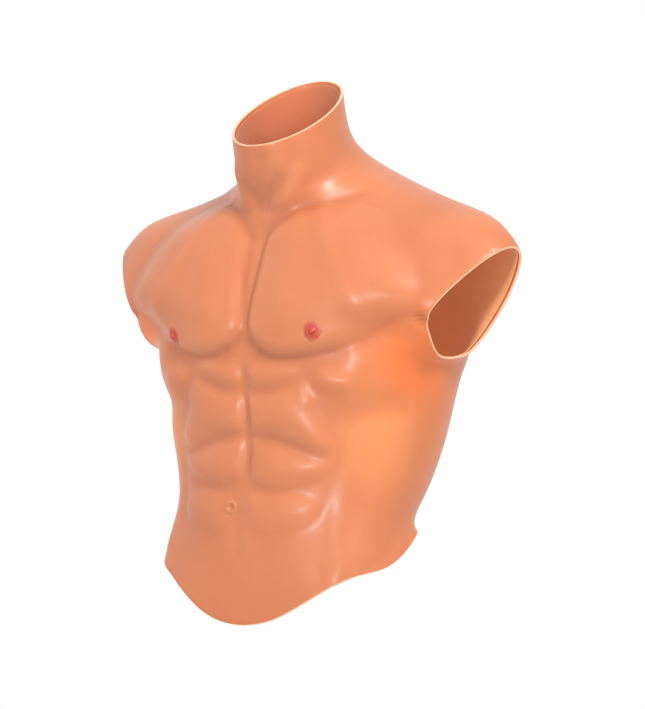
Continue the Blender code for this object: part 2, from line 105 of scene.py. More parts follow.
# Raised muscles: the centre line that distances round the body are measured from, the height, the
# width of the soft swell, and an outline of (distance, height, width of the firm edge)
MUSCLES = {
    "pectoral": ("front", 0.016, 0.050, (
        (0.010, 0.371, 0.016), (0.019, 0.382, 0.014), (0.028, 0.389, 0.014), (0.040, 0.398, 0.016),
        (0.058, 0.402, 0.022), (0.084, 0.407, 0.040), (0.118, 0.400, 0.060), (0.150, 0.374, 0.070),
        (0.174, 0.338, 0.060), (0.178, 0.308, 0.040), (0.156, 0.294, 0.034), (0.128, 0.277, 0.026),
        (0.098, 0.265, 0.014), (0.078, 0.260, 0.011), (0.057, 0.257, 0.010), (0.036, 0.258, 0.010),
        (0.021, 0.264, 0.010), (0.010, 0.273, 0.010), (0.004, 0.284, 0.011), (0.004, 0.304, 0.012),
        (0.007, 0.333, 0.014), (0.008, 0.356, 0.015),
    )),
    "upper_abdominal": ("front", 0.0045, 0.020, (
        (0.004, 0.250, 0.016), (0.003, 0.234, 0.011), (0.011, 0.227, 0.009), (0.022, 0.226, 0.009),
        (0.036, 0.229, 0.010), (0.052, 0.236, 0.012), (0.066, 0.245, 0.016), (0.050, 0.253, 0.016),
        (0.024, 0.253, 0.016),
    )),
    "middle_abdominal": ("front", 0.0072, 0.030, (
        (0.003, 0.218, 0.010), (0.003, 0.188, 0.009), (0.015, 0.182, 0.009), (0.030, 0.180, 0.010),
        (0.046, 0.176, 0.011), (0.061, 0.171, 0.012), (0.078, 0.165, 0.015), (0.094, 0.172, 0.022),
        (0.090, 0.190, 0.022), (0.080, 0.206, 0.020), (0.068, 0.222, 0.018), (0.050, 0.229, 0.014),
        (0.034, 0.223, 0.010), (0.014, 0.220, 0.010),
    )),
    "lower_abdominal": ("front", 0.0058, 0.028, (
        (0.004, 0.176, 0.010), (0.004, 0.144, 0.010), (0.011, 0.137, 0.010), (0.024, 0.132, 0.010),
        (0.040, 0.131, 0.011), (0.058, 0.134, 0.013), (0.078, 0.141, 0.018), (0.094, 0.155, 0.022),
        (0.080, 0.161, 0.016), (0.062, 0.166, 0.012), (0.046, 0.171, 0.010), (0.030, 0.175, 0.009),
        (0.015, 0.177, 0.009),
    )),
    "belly": ("front", 0.0045, 0.030, (
        (0.008, 0.124, 0.018), (0.009, 0.106, 0.018), (0.016, 0.092, 0.018), (0.034, 0.086, 0.018),
        (0.062, 0.090, 0.020), (0.082, 0.100, 0.022), (0.084, 0.120, 0.020), (0.060, 0.129, 0.014),
        (0.030, 0.127, 0.014),
    )),
    "serratus": ("front", 0.0035, 0.030, (
        (0.078, 0.246, 0.016), (0.078, 0.230, 0.016), (0.094, 0.219, 0.016), (0.114, 0.211, 0.016),
        (0.140, 0.217, 0.018), (0.160, 0.228, 0.026), (0.164, 0.250, 0.030), (0.136, 0.262, 0.022),
        (0.100, 0.255, 0.016),
    )),
    "oblique": ("front", 0.0055, 0.060, (
        (0.098, 0.150, 0.036), (0.092, 0.120, 0.036), (0.092, 0.088, 0.036), (0.100, 0.046, 0.040),
        (0.122, 0.034, 0.044), (0.150, 0.060, 0.050), (0.170, 0.112, 0.056), (0.182, 0.164, 0.056),
        (0.176, 0.204, 0.040), (0.140, 0.206, 0.034), (0.110, 0.190, 0.034),
    )),
    "deltoid": ("front", 0.0070, 0.040, (
        (0.165, 0.372, 0.040), (0.180, 0.362, 0.040), (0.215, 0.364, 0.040), (0.255, 0.372, 0.040),
        (0.290, 0.390, 0.040), (0.280, 0.408, 0.040), (0.240, 0.412, 0.040), (0.190, 0.402, 0.040),
    )),
    "trapezius": ("back", 0.0090, 0.034, (
        (0.005, 0.420, 0.022), (0.035, 0.430, 0.030), (0.070, 0.428, 0.030), (0.100, 0.421, 0.030),
        (0.096, 0.406, 0.024), (0.065, 0.388, 0.018), (0.036, 0.350, 0.016), (0.006, 0.325, 0.016),
    )),
    "shoulder_blade": ("back", 0.0090, 0.040, (
        (0.042, 0.330, 0.026), (0.055, 0.375, 0.030), (0.095, 0.392, 0.036), (0.140, 0.375, 0.044),
        (0.150, 0.345, 0.044), (0.115, 0.318, 0.036), (0.070, 0.308, 0.028),
    )),
    "lat": ("back", 0.0110, 0.044, (
        (0.046, 0.200, 0.034), (0.070, 0.175, 0.038), (0.105, 0.190, 0.046), (0.140, 0.235, 0.050),
        (0.160, 0.275, 0.050), (0.135, 0.296, 0.036), (0.090, 0.295, 0.030), (0.048, 0.270, 0.030),
    )),
    "lower_back": ("back", 0.0080, 0.022, (
        (0.006, 0.250, 0.024), (0.005, 0.170, 0.014), (0.006, 0.110, 0.026), (0.028, 0.108, 0.030),
        (0.042, 0.135, 0.024), (0.042, 0.190, 0.024), (0.034, 0.250, 0.030),
    )),
}
# The firm edge's share of the height, and how steeply it rises
FIRM_SHARE = 0.55
FIRM_POWER = 2.4
MUSCLE_BLUR = 9

# Ridges and grooves: the centre line, the height (negative for a groove), the half width, and a
# line of (distance, height)
FOLDS = (
    ("front", -0.0012, 0.0030, (
        (0.010, 0.370), (0.019, 0.381), (0.028, 0.388), (0.040, 0.397), (0.058, 0.402),
    )),
    ("front", -0.0012, 0.0034, (
        (0.058, 0.402), (0.071, 0.406), (0.084, 0.409), (0.100, 0.413), (0.114, 0.416),
    )),
    ("front", -0.0008, 0.0036, (
        (0.007, 0.333), (0.003, 0.300), (0.003, 0.284), (0.010, 0.272), (0.021, 0.263),
    )),
    ("front", -0.0010, 0.0030, (
        (0.021, 0.263), (0.036, 0.257), (0.057, 0.256), (0.078, 0.259), (0.098, 0.264),
    )),
    ("front", 0.0026, 0.0085, ((0.000, 0.358), (0.000, 0.335), (0.000, 0.310), (0.000, 0.284))),
    ("front", 0.0022, 0.0110, (
        (0.030, 0.405), (0.046, 0.412), (0.066, 0.417), (0.092, 0.423), (0.120, 0.427),
    )),
    ("front", 0.0026, 0.0080, ((0.016, 0.403), (0.027, 0.411), (0.036, 0.422), (0.042, 0.434))),
    ("front", -0.0016, 0.0070, ((0.002, 0.384), (0.004, 0.396), (0.012, 0.412), (0.018, 0.426))),
    ("front", -0.0026, 0.0120, ((0.000, 0.410), (0.000, 0.425), (0.000, 0.442))),
    ("front", 0.0016, 0.0090, (
        (0.063, 0.402), (0.070, 0.382), (0.083, 0.360), (0.104, 0.328), (0.122, 0.306),
    )),
    ("front", -0.0030, 0.0040, ((0.178, 0.297), (0.186, 0.288), (0.194, 0.277))),
    ("front", -0.0008, 0.0065, ((0.000, 0.240), (0.000, 0.200), (0.000, 0.146))),
    ("front", -0.0012, 0.0080, ((0.000, 0.104), (0.000, 0.068))),
    ("front", -0.0005, 0.0120, ((0.092, 0.152), (0.092, 0.123), (0.086, 0.098), (0.072, 0.078))),
    ("front", 0.0022, 0.0075, ((0.064, 0.226), (0.070, 0.217))),
    ("front", 0.0020, 0.0080, ((0.092, 0.236), (0.108, 0.234))),
    ("front", 0.0018, 0.0110, ((0.118, 0.262), (0.138, 0.258))),
    ("front", -0.0012, 0.0140, ((0.100, 0.199), (0.128, 0.205), (0.158, 0.212))),
    ("back", -0.0040, 0.0100, ((0.000, 0.420), (0.000, 0.300), (0.000, 0.180), (0.000, 0.100))),
    ("back", -0.0020, 0.0120, ((0.044, 0.300), (0.044, 0.350), (0.062, 0.384))),
)

# The moulded midline wanders to the wearer's right of the centre plane: (height, distance). It
# pulls the places within MIDLINE_REACH of the front centre with it.
MIDLINE = (
    (0.000, -0.008), (0.080, -0.010), (0.110, -0.011), (0.135, -0.005), (0.220, -0.003),
    (0.255, -0.006), (0.290, -0.007), (0.340, -0.009), (0.380, -0.008), (0.420, 0.000),
)
MIDLINE_REACH = 0.20

NAVEL_HEIGHT = 0.111
NAVEL_OFFSET = -0.010
NAVEL_RADIUS = 0.0048
NAVEL_RIM_RISE = 0.0016
NAVEL_RIM_WIDTH = 0.0013
NAVEL_PIT_DEPTH = 0.0004
NAVEL_PIT_WIDTH = 0.0026

# Areolae: (distance round the body, height) of each, their reach, and the dome of each
NIPPLE_PLACES = {"left": (0.0768, 0.2803), "right": (-0.0965, 0.2728)}
NIPPLE_REACH = 0.0095
AREOLA_DOME = 0.0007
AREOLA_CLEARANCE = 0.00005
AREOLA_TINT_REACH = 0.0125
AREOLA_RINGS = 22
AREOLA_SPOKES = 56
# How far its outline waves in and out, as shares of its radius
AREOLA_WAVE = 0.05
AREOLA_RIPPLE = 0.03
# The skin under an areola is fitted over this many reaches. Its underside is this share of its
# reach, and sunk into the skin.
AREOLA_FIT = 1.3
AREOLA_BASE = 0.98
AREOLA_SUNK = 0.0006
AREOLA_SUNK_CENTRE = 0.0008
# The nipple, the pit in its tip and the groove round its foot
NIPPLE_RISE = 0.0028
NIPPLE_RADIUS = 0.0026
TIP_DEPTH = 0.0007
TIP_RADIUS = 0.0007
GROOVE_DEPTH = 0.0003
GROOVE_RADIUS = 0.0042
GROOVE_WIDTH = 0.0008
# The small bumps of the areola, spread between two radii
BUMPS = 9
BUMP_SEED = 7
BUMP_RADII = (0.0042, 0.0075)
BUMP_RISE = 0.00035
BUMP_WIDTH = 0.0006

# How far the lips of cut edges stand out, and the faces across a lip
SKIN_LIP = 0.0007
LINER_LIP = 0.0002
PAD_LIP = 0.0006
LIP_STEPS = 4
# A cut edge this close to a point of the grid goes through it
SNAP = 0.0001
# Points closer than this are joined
WELD_REACH = 1e-6
# Added to a length before dividing by it, in case it is zero
TINY = 1e-12

# Liner: its gap to the skin, how far it stops short of the cut edges, half the gap at the side
# seams, and the radius that turns an angle from the seam into a distance
LINER_GAP = 0.0002
LINER_INSET = 0.003
SEAM_GAP = 0.0003
SEAM_RADIUS = 0.14
# Painted light: the liner glows faintly, standing in for light that comes through the thin skin
LINER_GLOW = 0.08

# Pads: gaps to the skin and the liner, how far they stop short of the muscle's outline and of the
# arm rim, the radius that turns the sine of an angle from the midline into a distance, and the
# depth of hollow that is too shallow for a pad
PAD_SKIN_GAP = 0.0003
PAD_LINER_GAP = 0.0001
PAD_INSET = 0.0035
PAD_ARM_INSET = 0.006
PAD_MIDLINE_RADIUS = 0.1
PAD_LEAST_ROOM = 0.0012
# A pad fills PAD_EDGE_SHARE of the room at its edge and all of it from PAD_ROUNDING inwards
PAD_ROUNDING = 0.012
PAD_EDGE_SHARE = 0.35
PAD_LEAST_THICKNESS = 0.0004

# Grid: (place, wanted distance between lines there), for spokes by distance round the body from
# the front centre and for rings by height
SPOKE_SPACING = (
    (0.00, 0.0017), (0.012, 0.0020), (0.04, 0.0029), (0.12, 0.0035), (0.25, 0.0047), (0.50, 0.0054),
)
RING_SPACING = (
    (0.00, 0.0033), (0.095, 0.0027), (0.105, 0.0014), (0.121, 0.0014), (0.130, 0.0025),
    (0.457, 0.0027),
)
# Steps for measuring distances on the body and along a spacing table
DENSE = 361
SPACING_STEPS = 4001

# A hollow is where the relief lies under its surroundings: the blur that gives the surroundings,
# and the depth that counts as one
# The skin's colour takes painted shade in the hollows and painted light on the ridges from this
HOLLOW_BLUR = 48
HOLLOW_DEPTH = 0.0024

# Colours, linear
SKIN_TONES = ((0.432, 0.139, 0.057), (0.466, 0.155, 0.067))
# Painted shade towards the hem
SKIN_PAINTED_HEM_SHADE_TONE = (0.360, 0.105, 0.042)
SKIN_SPECKLE_TONE = (0.42, 0.11, 0.05)
# Painted shade for the hollows and painted light for the ridges
SKIN_PAINTED_CREASE_SHADE_TONE = (0.300, 0.078, 0.032)
SKIN_PAINTED_RIDGE_LIGHT_TONE = (0.600, 0.215, 0.110)
EDGE_TONES = ((0.66, 0.36, 0.20), (0.72, 0.42, 0.25))
LINER_TONE = (0.92, 0.440, 0.190)
LINER_NECK_TONE = (0.50, 0.145, 0.060)
LINER_MOTTLE_TONE = (0.50, 0.160, 0.070)
LINER_SHADE_TONE = (0.24, 0.07, 0.03)
# Painted light: the colour of the liner's glow
LINER_GLOW_TONE = (0.90, 0.340, 0.130)
FOAM_TONES = ((0.80, 0.74, 0.60), (0.90, 0.85, 0.72))
FOAM_CELL_TONE = (0.60, 0.52, 0.38)
NIPPLE_MOTTLE_TONE = (0.30, 0.03, 0.015)
FLOOR_TONE = (0.72, 0.72, 0.72)
# Nipple colours from the rim of the areola to the tip
NIPPLE_TONES = (
    (0.10, (0.430, 0.125, 0.052)), (0.28, (0.43, 0.060, 0.022)), (0.60, (0.37, 0.026, 0.010)),
    (0.97, (0.42, 0.040, 0.018)),
)
# Orange places of the flanks and armpits, on both sides: centre, reach, share, tint
FLANK_TINTS = (
    ((0.165, 0.000, -0.215), 0.150, 0.80, (0.590, 0.165, 0.050)),
    ((0.135, -0.050, -0.235), 0.075, 0.60, (0.620, 0.235, 0.078)),
    ((0.160, -0.030, -0.150), 0.080, 0.90, (0.640, 0.145, 0.030)),
)
# Painted shade: the skin darkens between these heights, by this share at the hem
HEM_SHADE = (-0.27, -0.41, 0.40)
# Shares of the painted shade in the hollows and of the painted light on the ridges
PAINTED_CREASE_SHADE_SHARE = 0.48
PAINTED_RIDGE_LIGHT_SHARE = -0.15
# The liner changes to its neck tone between these heights
NECK_CHANGE = (-0.06, 0.06)
# Width and height of a stitch of the liner, and the sway of its columns
STITCH = (0.0013, 0.0011)
STITCH_WAVE = 1.2
# Of every noise texture
NOISE_ROUGHNESS = 0.55

# Camera
AZIMUTH = radians(37.5)
ELEVATION = radians(1.5)
ROLL = radians(1.2)
DISTANCE = 3.0
AIM = Vector((0.0, 0.0, 0.19 - HANG_HEIGHT))
SENSOR_WIDTH = 36.0
LENS = 155.4
SHIFT = (0.0247, 0.0994)
CLIP = (0.1, 50)

# Floor, well below the torso
FLOOR_DROP = 0.60
FLOOR_RADIUS = 1.5
FLOOR_SIDES = 96

# Lights: name, place, width and height, watts, colour. They all face the chest.
LIGHTS = (
    ("key", (1.95, -1.15, 2.0), (0.7, 0.7), 87, (1, 1, 1)),
    ("front_spot", (0.3, -2.5, 0.0), (0.24, 0.24), 22, (1, 1, 1)),
    ("left_strip", (-2.0, -1.0, 0.7), (0.25, 1.2), 1.2, (0.85, 0.93, 1.0)),
)
LIT = Vector((0.0, 0.0, -0.1))


def spline(knots, values, at, flat_ends=False):
    """Cubic spline through the knots. Its ends are free, or level where flat_ends is set."""
    knots = np.asarray(knots, float)
    values = np.asarray(values, float).reshape(len(knots), -1)
    count = len(knots)
    step = np.diff(knots)
    rise = np.diff(values, axis=0) / step[:, None]
    system = np.eye(count)
    target = np.zeros_like(values)
    for i in range(1, count - 1):
        system[i, i - 1:i + 2] = step[i - 1], 2 * (step[i - 1] + step[i]), step[i]
        target[i] = 6 * (rise[i] - rise[i - 1])
    if flat_ends:
        system[0, :2] = 2 * step[0], step[0]
        target[0] = 6 * rise[0]
        system[-1, -2:] = step[-1], 2 * step[-1]
        target[-1] = -6 * rise[-1]
    bend = np.linalg.solve(system, target)
    at = np.atleast_1d(np.asarray(at, float))
    i = np.clip(np.searchsorted(knots, at, side="right") - 1, 0, count - 2)
    width = step[i][:, None]
    d = (at - knots[i])[:, None]
    slope = rise[i] - width * (2 * bend[i] + bend[i + 1]) / 6
    return values[i] + d * (slope + d * (bend[i] / 2 + d * (bend[i + 1] - bend[i]) / (6 * width)))

def angle_from_front(turn):
    """The angle from the front centre, the same to the left and to the right."""
    return np.abs((turn + pi) % (2 * pi) - pi)


def hem_height(turn):
    """Height of the hem at each angle from the front centre."""
    angles, heights = zip(*HEM)
    return spline(angles, heights, np.degrees(angle_from_front(turn)), flat_ends=True)[:, 0]


def body_rings(turn, level):
    """Points of the plain body, one ring for each level (0 at the hem, TOP at the neck rim)."""
    row = dict(zip(STATION_FIELDS, spline(range(TOP + 1), STATIONS, level).T[:, :, None]))
    s, c = np.sin(turn)[None], np.cos(turn)[None]
    square = row["back_square"] + (row["front_square"] - row["back_square"]) * (1 + c) / 2
    x = row["half_width"] * (s + square * np.sin(3 * turn)) / (1 - square)
    y = row["centre_y"] - row["half_depth"] * (c - square * np.cos(3 * turn)) / (1 - square)

    def around(front, side, back):
        middle = (front + back + 2 * side) / 4
        return middle + (front - back) / 2 * c + (front + back - 2 * side) / 4 * (2 * c * c - 1)

    z = around(row["front_z"], row["side_z"], row["back_z"])
    fade = np.clip(1 - np.asarray(level)[:, None] / HEM_REACH, 0, 1) ** 2
    z = z + fade * (hem_height(turn)[None] - around(*STATIONS[0][:3]))
    shoulder = np.exp(-np.abs((y - row["centre_y"] - row["arm_y"]) / row["arm_half"]) ** 3) * s * s
    x = x + np.sign(s) * row["arm_out"] * shoulder
    z = z + row["arm_rise"] * shoulder
    return np.stack([x, y, z], axis=-1)


def grid_normals(points):
    """Outward unit normals of a grid of rings."""
    across = np.roll(points, -1, axis=1) - np.roll(points, 1, axis=1)
    along = np.gradient(points, axis=0)
    normals = np.cross(across, along)
    return normals / np.linalg.norm(normals, axis=-1, keepdims=True)

def smooth_outline(points, steps=6):
    """The closed outline through the points, rounded between them."""
    points = np.array(points)
    before, after, beyond = np.roll(points, 1, 0), np.roll(points, -1, 0), np.roll(points, -2, 0)
    rows = []
    for k in range(steps):
        f = k / steps
        rows.append(0.5 * (
            2 * points + (after - before) * f
            + (2 * before - 5 * points + 4 * after - beyond) * f ** 2
            + (3 * points - before - 3 * after + beyond) * f ** 3
        ))
    return np.stack(rows, axis=1).reshape(-1, points.shape[1])

def smooth_line(points, steps=5):
    """The open line through the points, rounded between them."""
    points = np.array(points)
    if len(points) < 3:
        return points
    reach = np.linspace(0, len(points) - 1, steps * (len(points) - 1) + 1)
    return spline(range(len(points)), points, reach)

def nearest_on(start, end, girth, height):
    """Where along a straight piece the nearest point to each place is (0 to 1), and how far off."""
    (ax, ay), (bx, by) = start, end
    dx, dy = bx - ax, by - ay
    f = np.clip(((girth - ax) * dx + (height - ay) * dy) / (dx * dx + dy * dy), 0, 1)
    return f, np.hypot(girth - ax - f * dx, height - ay - f * dy)


def distance_to(line, girth, height):
    """Distance from each place to a line of straight pieces."""
    nearest = np.full(girth.shape, 1.0)
    for start, end in zip(line[:-1], line[1:]):
        nearest = np.minimum(nearest, nearest_on(start, end, girth, height)[1])
    return nearest


def firmness(outline, girth, height):
    """Distance from each place to the outline, as a share of the edge's width there."""
    nearest = np.full(girth.shape, 1.0)
    for start, end in zip(outline, np.roll(outline, -1, 0)):
        f, away = nearest_on(start[:2], end[:2], girth, height)
        nearest = np.minimum(nearest, away / (start[2] + f * (end[2] - start[2])))
    return nearest


def depth_inside(outline, girth, height):
    """Distance from each place to the closed outline, positive inside and negative outside."""
    inside = np.zeros(girth.shape, bool)
    for (ax, ay), (bx, by) in zip(outline, np.roll(outline, -1, 0)):
        if ay != by:
            crossing = (ay > height) != (by > height)
            inside ^= crossing & (girth < ax + (height - ay) * (bx - ax) / (by - ay))
    nearest = distance_to(np.vstack([outline, outline[:1]]), girth, height)
    return np.where(inside, nearest, -nearest)


def blurred(field, times):
    """The field with each place averaged with its neighbours, a number of times."""
    for _ in range(times):
        sides = np.roll(field, 1, 1) + np.roll(field, -1, 1)
        padded = np.pad(field, ((1, 1), (0, 0)), mode="edge")
        field = (4 * field + sides + padded[:-2] + padded[2:]) / 8
    return field

def spaced(table, end):
    """Places from 0 to end, as far apart as the table says."""
    at, wanted = zip(*table)
    fine = np.linspace(0, end, SPACING_STEPS)
    count = np.append(0, np.cumsum(np.diff(fine) / np.interp(fine[1:], at, wanted)))
    total = round(count[-1] / (1))
    return np.interp(np.linspace(0, count[-1], total + 1), count, fine)


class Surface:
    """The body's outer surface as a grid, with the height of its relief at every place."""

    def __init__(self):
        half_turn = np.linspace(0, pi, DENSE)
        chest = body_rings(half_turn, [CHEST_LEVEL])[0]
        walked = np.append(0, np.cumsum(np.linalg.norm(np.diff(chest, axis=0), axis=1)))
        half = np.interp(spaced(SPOKE_SPACING, walked[-1]), walked, half_turn)
        self.turn = np.concatenate([half, 2 * pi - half[-2:0:-1]])
        levels = np.linspace(0, TOP, DENSE)
        front_z = body_rings(np.zeros(1), levels)[:, 0, 2]
        level = np.interp(spaced(RING_SPACING, front_z[-1]), front_z, levels)
        points = body_rings(self.turn, level)
        self.height = points[..., 2]
        self.normal = grid_normals(points)
        self.plain = points - np.array([0, 0, HANG_HEIGHT])
        steps = np.linalg.norm(np.diff(body_rings(half_turn, level), axis=1), axis=-1)
        around = np.pad(np.cumsum(steps, axis=1), ((0, 0), (1, 0)))
        folded = angle_from_front(self.turn)
        self.front_girth = np.array([np.interp(folded, half_turn, row) for row in around])
        self.back_girth = around[:, -1:] - self.front_girth
        self.side = np.where(self.turn > pi, -1, 1)
        near_front = np.clip(1 - self.front_girth / MIDLINE_REACH, 0, 1)
        middle = spline(*zip(*MIDLINE), self.height.ravel())[:, 0].reshape(self.height.shape)
        self.from_midline = self.side * self.front_girth - middle * near_front
        rises = np.linalg.norm(np.diff(points, axis=0), axis=-1)
        self.from_hem = np.pad(np.cumsum(rises, axis=0), ((1, 0), (0, 0)))
        self.to_neck = self.from_hem[-1:] - self.from_hem
        self.muscle_depth = {}
        self.raised = self.relief()
        surroundings = blurred(self.raised, HOLLOW_BLUR // (1))
        self.hollow = (surroundings - self.raised) / HOLLOW_DEPTH

    def girth(self, centre_line):
        """Distance round the body from the front midline or from the back centre."""
        return np.abs(self.from_midline) if centre_line == "front" else self.back_girth

    def relief(self):
        """Height of the muscles, folds and navel. It also keeps the depth inside each muscle."""
        total = np.zeros(self.height.shape)
        for name, (centre_line, rise, swell, outline) in MUSCLES.items():
            girth = self.girth(centre_line)
            rounded = smooth_outline(outline)
            depth = depth_inside(rounded[:, :2], girth, self.height)
            self.muscle_depth[name] = depth
            firm = np.clip(firmness(rounded, girth, self.height), 0, 1) * (depth > 0)
            soft = np.clip(depth / swell, 0, 1)
            firm = 1 - (1 - firm) ** FIRM_POWER
            soft = soft * soft * (3 - 2 * soft)
            total = np.maximum(total, rise * (FIRM_SHARE * firm + (1 - FIRM_SHARE) * soft))
        total = blurred(total, MUSCLE_BLUR)
        for centre_line, rise, half_width, line in FOLDS:
            distance = distance_to(smooth_line(line), self.girth(centre_line), self.height)
            total += rise * np.exp(-(distance / half_width) ** 2)
        navel = np.hypot(self.from_midline - NAVEL_OFFSET, self.height - NAVEL_HEIGHT)
        total += NAVEL_RIM_RISE * np.exp(-((navel - NAVEL_RADIUS) / NAVEL_RIM_WIDTH) ** 2)
        total -= NAVEL_PIT_DEPTH * np.exp(-(navel / NAVEL_PIT_WIDTH) ** 2)
        return total

    def past_arm_rim(self):
        """How far each place is past the plane of its armhole's rim, positive where cut away."""
        lean, turn = ARMHOLE_LEAN, ARMHOLE_TURN
        along = np.array([sin(lean), 0, cos(lean)])
        outward = np.array([cos(lean) * cos(turn), -sin(turn), -sin(lean) * cos(turn)])
        across = np.cross(outward, along)
        points = self.layer(self.raised - SKIN / 2)
        folded = np.abs(points) * [1, 0, 0] + points * [0, 1, 1]
        folded += [0, 0, HANG_HEIGHT] - np.array(ARMHOLE_CENTRE)
        oval = np.hypot(folded @ along / ARMHOLE_HALF_LENGTH, folded @ across / ARMHOLE_HALF_WIDTH)
        return np.minimum(folded @ outward, (1 - oval) * ARMHOLE_HALF_WIDTH)

    def layer(self, offset):
        """The grid moved along its normals."""
        return self.plain + self.normal * offset[..., None]


def cut_grid(past):
    """The faces of the grid where past is below 0, and the points they use, each with its number.

    A point is a place of the grid, or the cut between a pair of places.
    """
    rings, spokes = past.shape
    sign = np.sign(np.where(np.abs(past) < SNAP, 0, past)).astype(int).ravel()
    points, faces = {}, []

    def number(point):
        return points.setdefault(point, len(points))

    for i in range(rings - 1):
        for j in range(spokes):
            k = (j + 1) % spokes
            corners = (i * spokes + j, i * spokes + k, (i + 1) * spokes + k, (i + 1) * spokes + j)
            if min(sign[corner] for corner in corners) >= 0:
                continue
            face = []
            for a, b in zip(corners, corners[1:] + corners[:1]):
                if sign[a] <= 0:
                    face.append(number(a))
                if sign[a] * sign[b] < 0:
                    face.append(number((min(a, b), max(a, b))))
            if len(face) > 2:
                faces.append(face)
    return faces, points


def at_points(layer, points, past):
    """The layer's rows at the points that cut_grid gives."""
    rows = layer.reshape(-1, layer.shape[-1])
    value = past.ravel()
    placed = np.empty((len(points), rows.shape[1]))
    for point, index in points.items():
        if isinstance(point, tuple):
            a, b = point
            f = value[a] / (value[a] - value[b])
            placed[index] = rows[a] * (1 - f) + rows[b] * f
        else:
            placed[index] = rows[point]
    return placed


def add_object(name, verts, faces):
    """A new mesh object in the scene."""
    mesh = bpy.data.meshes.new(name)
    mesh.from_pydata([tuple(v) for v in verts], [], faces)
    piece = bpy.data.objects.new(name, mesh)
    bpy.context.scene.collection.objects.link(piece)
    return piece


def make_shell(name, surface, past, outer, inner, lip):
    """A closed wall between two layers of the grid where past is below 0, with a rounded lip."""
    faces, points = cut_grid(past)
    marks = np.stack(
        [surface.front_girth * surface.side[None], surface.height, surface.hollow], axis=-1
    )
    outside, inside, marks = (at_points(layer, points, past) for layer in (outer, inner, marks))

    edges = dict.fromkeys(edge for face in faces for edge in zip(face, face[1:] + face[:1]))
    rim = [(a, b) for a, b in edges if (b, a) not in edges]
    away = {}
    for a, b in rim:
        wall = outside[[a, b]].mean(0) - inside[[a, b]].mean(0)
        way = np.cross(outside[b] - outside[a], wall)
        way /= np.linalg.norm(way) + TINY
        for end in (a, b):
            away[end] = away.get(end, 0) + way

    count = len(outside)
    verts = list(outside) + list(inside)
    marks = list(marks) + list(marks)
    ladder = {}
    for index, way in away.items():
        way = way / (np.linalg.norm(way) + TINY)
        steps = [index]
        for step in range(1, LIP_STEPS):
            f = step / LIP_STEPS
            across = (1 - cos(pi * f)) / 2
            steps.append(len(verts))
            verts.append(
                outside[index] * (1 - across) + inside[index] * across + way * lip * sin(pi * f)
            )
            marks.append(marks[index])
        steps.append(count + index)
        ladder[index] = steps

    walls = faces + [[count + v for v in reversed(face)] for face in faces]
    lips = [
        [ladder[b][step], ladder[a][step], ladder[a][step + 1], ladder[b][step + 1]]
        for a, b in rim for step in range(LIP_STEPS)
    ]
    piece = add_object(name, verts, walls + lips)
    mesh = piece.data
    loops = np.empty(len(mesh.loops), int)
    mesh.loops.foreach_get("vertex_index", loops)
    marks = np.array(marks)
    uv_layer = mesh.uv_layers.new(name="girth_height")
    uv_layer.data.foreach_set("uv", marks[loops, :2].astype(np.float32).ravel())
    hollow = mesh.attributes.new("hollow", "FLOAT", "POINT")
    hollow.data.foreach_set("value", marks[:, 2].astype(np.float32))
    mesh.shade_smooth()
    material_index = np.zeros(len(mesh.polygons), int)
    material_index[len(walls):] = 1
    mesh.polygons.foreach_set("material_index", material_index)
    mesh.update()
    return piece


